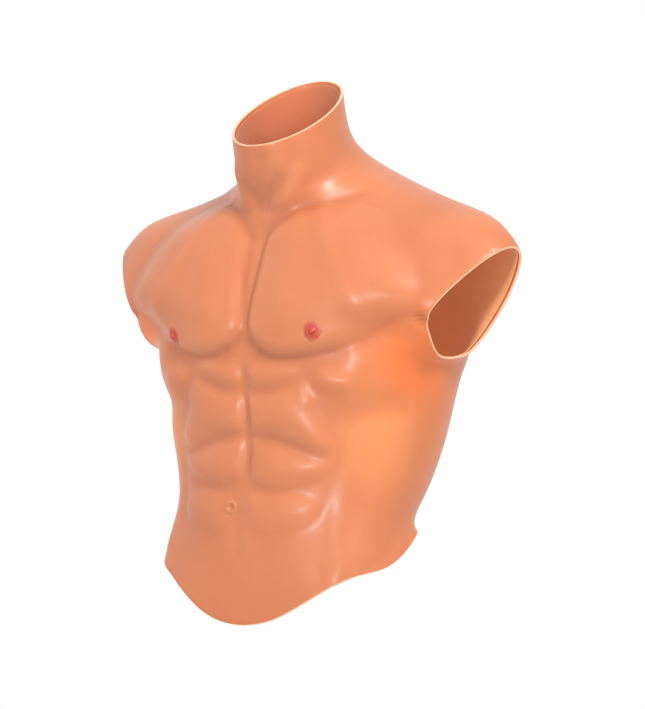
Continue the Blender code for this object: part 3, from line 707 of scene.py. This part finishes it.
class Nodes:
    """Short calls for building a material's nodes."""

    def __init__(self, name):
        self.material = bpy.data.materials.new(name)
        self.material.use_nodes = True
        self.tree = self.material.node_tree
        self.shader = self.tree.nodes["Principled BSDF"]

    def put(self, value, socket):
        """Links a socket to the input, or sets the input to a number or a colour."""
        if isinstance(value, bpy.types.NodeSocket):
            self.tree.links.new(value, socket)
        elif socket.type == "RGBA":
            socket.default_value = (*value, 1)
        else:
            socket.default_value = value

    def add(self, kind, inputs=None, **settings):
        node = self.tree.nodes.new(kind)
        for key, value in settings.items():
            setattr(node, key, value)
        for key, value in (inputs or {}).items():
            self.put(value, node.inputs[key])
        return node

    def place(self):
        """The place on the part, in the part's frame."""
        return self.add("ShaderNodeTexCoord").outputs["Object"]

    def noise(self, vector, scale, detail=3.0):
        inputs = {"Vector": vector, "Scale": scale, "Detail": detail, "Roughness": NOISE_ROUGHNESS}
        return self.add("ShaderNodeTexNoise", inputs).outputs["Fac"]

    def ramp(self, value, *stops):
        node = self.add("ShaderNodeValToRGB", {"Fac": value})
        elements = node.color_ramp.elements
        while len(elements) < len(stops):
            elements.new(0.5)
        for element, (position, colour) in zip(elements, stops):
            element.position = position
            element.color = (*colour, 1)
        return node.outputs["Color"]

    def mix(self, factor, a, b):
        node = self.add("ShaderNodeMix", data_type="RGBA")
        for index, value in ((0, factor), (6, a), (7, b)):
            self.put(value, node.inputs[index])
        return node.outputs[2]

    def math(self, operation, a, b=0.0, clamp=False):
        node = self.add("ShaderNodeMath", {0: a, 1: b}, operation=operation)
        node.use_clamp = clamp
        return node.outputs[0]

    def map_range(self, value, starts, ends, kind="LINEAR"):
        """The value, with starts (from, to) turned into ends (from, to)."""
        inputs = {
            "Value": value, "From Min": starts[0], "From Max": starts[1],
            "To Min": ends[0], "To Max": ends[1],
        }
        return self.add("ShaderNodeMapRange", inputs, interpolation_type=kind).outputs[0]

    def blob(self, vector, centre, radius):
        """1 at the centre, falling smoothly to 0 at the radius."""
        distance = self.add("ShaderNodeVectorMath", {0: vector, 1: centre}, operation="DISTANCE")
        return self.map_range(distance.outputs["Value"], (0.0, radius), (1.0, 0.0), "SMOOTHERSTEP")

    def bump(self, height, distance, strength=1.0, under=None):
        inputs = {"Height": height, "Distance": distance, "Strength": strength}
        if under is not None:
            inputs["Normal"] = under
        return self.add("ShaderNodeBump", inputs).outputs["Normal"]

    def finish(self, colour, roughness, normal=None, **constants):
        """The material, with these on its shader."""
        for key, value in (("Base Color", colour), ("Roughness", roughness), ("Normal", normal)):
            if value is not None:
                self.put(value, self.shader.inputs[key])
        for key, value in constants.items():
            self.shader.inputs[key.replace("_", " ")].default_value = value
        return self.material


def skin_material():
    """Tinted silicone: peach, orange at the flanks and armpits, with painted shade in the hollows
    and towards the hem and painted light on the ridges.
    """
    n = Nodes("silicone_skin_look")
    where = n.place()
    mottle = n.noise(where, scale=14.0, detail=4.0)
    tone = n.ramp(mottle, (0.35, SKIN_TONES[0]), (0.65, SKIN_TONES[1]))
    for (x, y, z), reach, share, tint in FLANK_TINTS:
        left, right = n.blob(where, (x, y, z), reach), n.blob(where, (-x, y, z), reach)
        tone = n.mix(n.math("MULTIPLY", n.math("ADD", left, right), share, clamp=True), tone, tint)
    # Painted shade: darker towards the hem
    height = n.add("ShaderNodeSeparateXYZ", {0: where}).outputs["Z"]
    hem_top, hem_end, hem_share = HEM_SHADE
    low = n.map_range(height, (hem_top, hem_end), (0.0, hem_share))
    tone = n.mix(low, tone, SKIN_PAINTED_HEM_SHADE_TONE)
    speckle = n.noise(where, scale=420.0, detail=2.0)
    tone = n.mix(n.math("MULTIPLY", speckle, 0.10), tone, SKIN_SPECKLE_TONE)
    # Painted shade in the hollows and painted light on the ridges
    hollow = n.add("ShaderNodeAttribute", attribute_name="hollow").outputs["Fac"]
    tone = n.mix(n.math("MULTIPLY", hollow, PAINTED_CREASE_SHADE_SHARE, clamp=True), tone, SKIN_PAINTED_CREASE_SHADE_TONE)
    tone = n.mix(n.math("MULTIPLY", hollow, PAINTED_RIDGE_LIGHT_SHARE, clamp=True), tone, SKIN_PAINTED_RIDGE_LIGHT_TONE)
    rough = n.map_range(n.noise(where, scale=60.0), (0.0, 1.0), (0.32, 0.41))
    pores = n.bump(n.noise(where, scale=900.0, detail=2.0), distance=0.00005)
    waves = n.noise(where, scale=40.0, detail=3.0)
    normal = n.bump(waves, distance=0.0006, strength=0.5, under=pores)
    return n.finish(
        tone, rough, normal, Subsurface_Weight=0.15, Subsurface_Scale=0.004,
        Subsurface_Radius=(1.0, 0.35, 0.15), Coat_Weight=0.06, Coat_Roughness=0.20, IOR=1.38,
    )


def edge_material():
    """The pale cut edge of the silicone."""
    n = Nodes("silicone_edge_look")
    where = n.place()
    mottle = n.noise(where, scale=90.0, detail=3.0)
    tone = n.ramp(mottle, (0.3, EDGE_TONES[0]), (0.7, EDGE_TONES[1]))
    normal = n.bump(n.noise(where, scale=600.0, detail=2.0), distance=0.00008)
    return n.finish(
        tone, 0.5, normal, Subsurface_Weight=0.3, Subsurface_Scale=0.003,
        Subsurface_Radius=(1.0, 0.4, 0.2),
    )


def liner_material():
    """Fine knitted cloth: columns of small loops along the body, with a faint painted glow standing
    in for light through the skin.
    """
    n = Nodes("knit_liner_look")
    uv = n.add("ShaderNodeUVMap", uv_map="girth_height").outputs["UV"]
    split = n.add("ShaderNodeSeparateXYZ", {0: uv})
    across = n.math("MULTIPLY", split.outputs["X"], 2 * pi / STITCH[0])
    along = n.math("MULTIPLY", split.outputs["Y"], 2 * pi / STITCH[1])
    wave = n.math("MULTIPLY", n.math("SINE", across), STITCH_WAVE)
    loops = n.math("SINE", n.math("ADD", along, wave))
    ribs = n.math("ABSOLUTE", n.math("SINE", n.math("MULTIPLY", across, 0.5)))
    knit = n.math("MULTIPLY", n.math("ADD", n.math("MULTIPLY", loops, 0.5), 0.5), ribs)
    where = n.place()
    height = n.add("ShaderNodeSeparateXYZ", {0: where}).outputs["Z"]
    near_neck = n.map_range(height, NECK_CHANGE, (0.0, 1.0), "SMOOTHSTEP")
    base = n.mix(near_neck, LINER_TONE, LINER_NECK_TONE)
    mottle = n.noise(where, scale=30.0, detail=4.0)
    base = n.mix(n.math("MULTIPLY", mottle, 0.25), base, LINER_MOTTLE_TONE)
    shaded = n.mix(0.12, base, LINER_SHADE_TONE)
    tone = n.mix(n.math("MULTIPLY", knit, 0.25), shaded, base)
    normal = n.bump(knit, distance=0.00025, strength=0.6)
    # Painted light: a faint glow, fading out towards the neck
    glow = n.mix(near_neck, LINER_GLOW_TONE, (0.0, 0.0, 0.0))
    n.put(glow, n.shader.inputs["Emission Color"])
    return n.finish(
        tone, 0.85, normal, Sheen_Weight=0.2, Sheen_Roughness=0.5, Emission_Strength=LINER_GLOW,
    )


def pad_material():
    """Soft open foam behind the muscles."""
    n = Nodes("pad_foam_look")
    where = n.place()
    cells = n.add("ShaderNodeTexVoronoi", {"Vector": where, "Scale": 700.0}).outputs["Distance"]
    mottle = n.noise(where, scale=45.0, detail=4.0)
    tone = n.ramp(mottle, (0.3, FOAM_TONES[0]), (0.7, FOAM_TONES[1]))
    tone = n.mix(n.math("MULTIPLY", cells, 0.35), FOAM_CELL_TONE, tone)
    lumps = n.bump(n.noise(where, scale=80.0), distance=0.001, strength=0.4)
    normal = n.bump(cells, distance=0.0004, strength=0.7, under=lumps)
    return n.finish(tone, 0.95, normal, Sheen_Weight=0.1)


def nipple_material(centre, name):
    """Rosy silicone, deepest at the tip, fading to the skin's tone at the rim of the areola."""
    n = Nodes(name)
    where = n.place()
    mottle = n.noise(where, scale=500.0, detail=3.0)
    uneven = n.noise(where, scale=260.0, detail=2.0)
    wobble = n.math("MULTIPLY", n.math("SUBTRACT", uneven, 0.5), 0.20)
    fall = n.math("ADD", n.blob(where, centre, AREOLA_TINT_REACH), wobble)
    tone = n.ramp(fall, *NIPPLE_TONES)
    tone = n.mix(n.math("MULTIPLY", mottle, 0.25), tone, NIPPLE_MOTTLE_TONE)
    normal = n.bump(mottle, distance=0.0003, strength=0.7)
    return n.finish(
        tone, 0.46, normal, Subsurface_Weight=0.2, Subsurface_Scale=0.004,
        Subsurface_Radius=(1.0, 0.3, 0.15), Coat_Weight=0.08, Coat_Roughness=0.3,
    )


def areola_lift(radius, angle, bumps):
    """How far the areola and nipple stand off the skin."""
    lift = AREOLA_DOME * (1 - (radius / NIPPLE_REACH) ** 4) + AREOLA_CLEARANCE
    lift += NIPPLE_RISE / (1 + (radius / NIPPLE_RADIUS) ** 6)
    lift -= TIP_DEPTH * np.exp(-(radius / TIP_RADIUS) ** 2)
    lift -= GROOVE_DEPTH * np.exp(-((radius - GROOVE_RADIUS) / GROOVE_WIDTH) ** 2)
    for bump_radius, bump_angle in bumps:
        gap = np.hypot(
            radius * cos(angle) - bump_radius * cos(bump_angle),
            radius * sin(angle) - bump_radius * sin(bump_angle),
        )
        lift += BUMP_RISE * np.exp(-(gap / BUMP_WIDTH) ** 2)
    return lift


def make_nipple(name, surface, girth, height, material_name):
    """Areola with small bumps and a nipple, lying on the skin."""
    away = np.hypot(surface.front_girth * surface.side - girth, surface.height - height)
    row, column = np.unravel_index(np.argmin(away), away.shape)
    top = surface.layer(surface.raised)
    centre, normal = top[row, column], grid_normals(top)[row, column]
    across = top[row, column + 1] - top[row, column - 1]
    across = across - normal * (across @ normal)
    across = across / np.linalg.norm(across)
    up = np.cross(normal, across)
    near = top.reshape(-1, 3) - centre
    near = near[np.linalg.norm(near, axis=1) < NIPPLE_REACH * AREOLA_FIT]
    a, b, h = near @ across, near @ up, near @ normal
    fit = np.linalg.lstsq(np.stack([a * a, a * b, b * b, a, b, a * 0 + 1], 1), h, rcond=None)[0]

    def place(radius, angle, lift):
        x, y = radius * cos(angle), radius * sin(angle)
        skin_height = fit @ np.array([x * x, x * y, y * y, x, y, 1])
        return centre + across * x + up * y + normal * (skin_height + lift)

    rng = np.random.default_rng(BUMP_SEED)
    bumps = [(rng.uniform(*BUMP_RADII), rng.uniform(0, 2 * pi)) for _ in range(BUMPS)]
    rings, spokes = AREOLA_RINGS, AREOLA_SPOKES
    verts, faces = [], []
    for ring in range(rings + 1):
        radius = NIPPLE_REACH * ring / rings
        for k in range(spokes):
            angle = 2 * pi * k / spokes
            wave = 1 + AREOLA_WAVE * sin(3 * angle + 1) + AREOLA_RIPPLE * sin(7 * angle)
            verts.append(place(radius * wave, angle, areola_lift(radius, angle, bumps)))
    for first in range(0, rings * spokes, spokes):
        for k in range(spokes):
            m = (k + 1) % spokes
            faces.append([first + k, first + m, first + spokes + m, first + spokes + k])
    base = len(verts)
    for k in range(spokes):
        verts.append(place(NIPPLE_REACH * AREOLA_BASE, 2 * pi * k / spokes, -AREOLA_SUNK))
    verts.append(place(0, 0, -AREOLA_SUNK_CENTRE))
    for k in range(spokes):
        m = (k + 1) % spokes
        faces.append([rings * spokes + k, rings * spokes + m, base + m, base + k])
        faces.append([base + k, base + m, base + spokes])
    piece = add_object(name, verts, faces)
    weld(piece)
    piece.data.shade_smooth()
    piece.data.materials.append(nipple_material(tuple(centre), material_name))
    return piece


def weld(piece):
    """Joins the points that lie together and turns the faces outwards."""
    bm = bmesh.new()
    bm.from_mesh(piece.data)
    bmesh.ops.remove_doubles(bm, verts=bm.verts, dist=WELD_REACH)
    bmesh.ops.recalc_face_normals(bm, faces=bm.faces)
    bm.to_mesh(piece.data)
    bm.free()


def dress(piece, nodes, slot, *materials):
    """Puts the piece on the body in the place of its CAD nodes, with its materials."""
    for material in materials:
        piece.data.materials.append(material)
    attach(piece, "root")
    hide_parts(*nodes)


def facing(place, towards):
    """The matrix of a camera or light at the place that looks along towards."""
    looking = towards.to_track_quat("-Z", "Y").to_matrix().to_4x4()
    return Matrix.Translation(place) @ looking


def add_light(name, place, size, power, colour):
    """A soft rectangular light that faces the chest."""
    data = bpy.data.lights.new(name, "AREA")
    data.shape = "RECTANGLE"
    data.size, data.size_y = size
    data.energy = power
    data.color = colour
    light = bpy.data.objects.new(name, data)
    bpy.context.scene.collection.objects.link(light)
    light.matrix_world = facing(Vector(place), LIT - Vector(place))


surface = Surface()
raised = surface.raised
past_arm = surface.past_arm_rim()
from_seam = (angle_from_front(surface.turn) - pi / 2)[None] * SEAM_RADIUS
sideways = np.sin(surface.turn)[None]

# Skin
skin = make_shell(
    "torso_skin", surface, past_arm, surface.layer(raised), surface.layer(raised - SKIN), SKIN_LIP
)
dress(skin, ["outer_skin"], "silicone_skin", skin_material(), edge_material())

# Nipples
for name, (girth, height) in NIPPLE_PLACES.items():
    nipple = make_nipple("nipple_piece_" + name, surface, girth, height, "nipple_look_" + name)
    dress(nipple, ["nipple_" + name], "nipple_silicone")

# Liner: it passes straight under the raised muscles and follows the grooves
level_inside = np.minimum(raised, 0) - SKIN
liner_outside = level_inside - LINER_GAP
rims = np.maximum(LINER_INSET - surface.from_hem, LINER_INSET - surface.to_neck)
rims = np.maximum(rims, past_arm + LINER_INSET)
knit = liner_material()
for name, past_seam in (("front", from_seam), ("back", -from_seam)):
    panel = make_shell(
        "liner_panel_" + name, surface, np.maximum(rims, past_seam + SEAM_GAP),
        surface.layer(liner_outside), surface.layer(liner_outside - LINER), LINER_LIP,
    )
    dress(panel, ["liner_" + name], "knit_liner", knit, knit)

# Pads behind the muscles
foam = pad_material()
room = raised - SKIN - PAD_SKIN_GAP - (level_inside - PAD_LINER_GAP)
no_room = np.maximum(PAD_LEAST_ROOM - room, past_arm + PAD_ARM_INSET)
for name, depth in surface.muscle_depth.items():
    for hand, sign in (("left", 1), ("right", -1)):
        past = np.maximum(PAD_INSET - depth, -sign * sideways * PAD_MIDLINE_RADIUS)
        past = np.maximum(past, no_room)
        swell = np.sqrt(np.clip(-past / PAD_ROUNDING, 0, 1))
        thickness = room * (PAD_EDGE_SHARE + (1 - PAD_EDGE_SHARE) * swell)
        thickness = np.maximum(thickness, PAD_LEAST_THICKNESS)
        pad = make_shell(
            f"{name}_filling_{hand}", surface, past,
            surface.layer(level_inside + thickness), surface.layer(level_inside), PAD_LIP,
        )
        dress(pad, [f"{name}_pad_{hand}"], "pad_foam", foam, foam)

# Camera
camera = bpy.data.objects.new("camera", bpy.data.cameras.new("camera"))
bpy.context.scene.collection.objects.link(camera)
bpy.context.scene.camera = camera
towards = Vector(
    (sin(AZIMUTH) * cos(ELEVATION), -cos(AZIMUTH) * cos(ELEVATION), sin(ELEVATION))
)
camera.matrix_world = facing(AIM + towards * DISTANCE, -towards) @ Matrix.Rotation(ROLL, 4, "Z")
camera.data.sensor_width = SENSOR_WIDTH
camera.data.lens = LENS
camera.data.shift_x, camera.data.shift_y = SHIFT
camera.data.clip_start, camera.data.clip_end = CLIP

# Floor
floor_z = cad_box[0][2] - FLOOR_DROP
turns = [2 * pi * k / FLOOR_SIDES for k in range(FLOOR_SIDES)]
corners = [(FLOOR_RADIUS * cos(turn), FLOOR_RADIUS * sin(turn), floor_z) for turn in turns]
studio_floor = add_object("studio_floor", corners, [range(FLOOR_SIDES)])
studio_floor.data.materials.append(Nodes("studio_floor_look").finish(FLOOR_TONE, 0.9))

# Soft studio light
world = bpy.data.worlds.new("studio")
world.use_nodes = True
world.node_tree.nodes["Background"].inputs["Color"].default_value = (1, 1, 1, 1)
world.node_tree.nodes["Background"].inputs["Strength"].default_value = 1.0
bpy.context.scene.world = world
bpy.context.scene.view_settings.view_transform = "Standard"
for light in LIGHTS:
    add_light(*light)
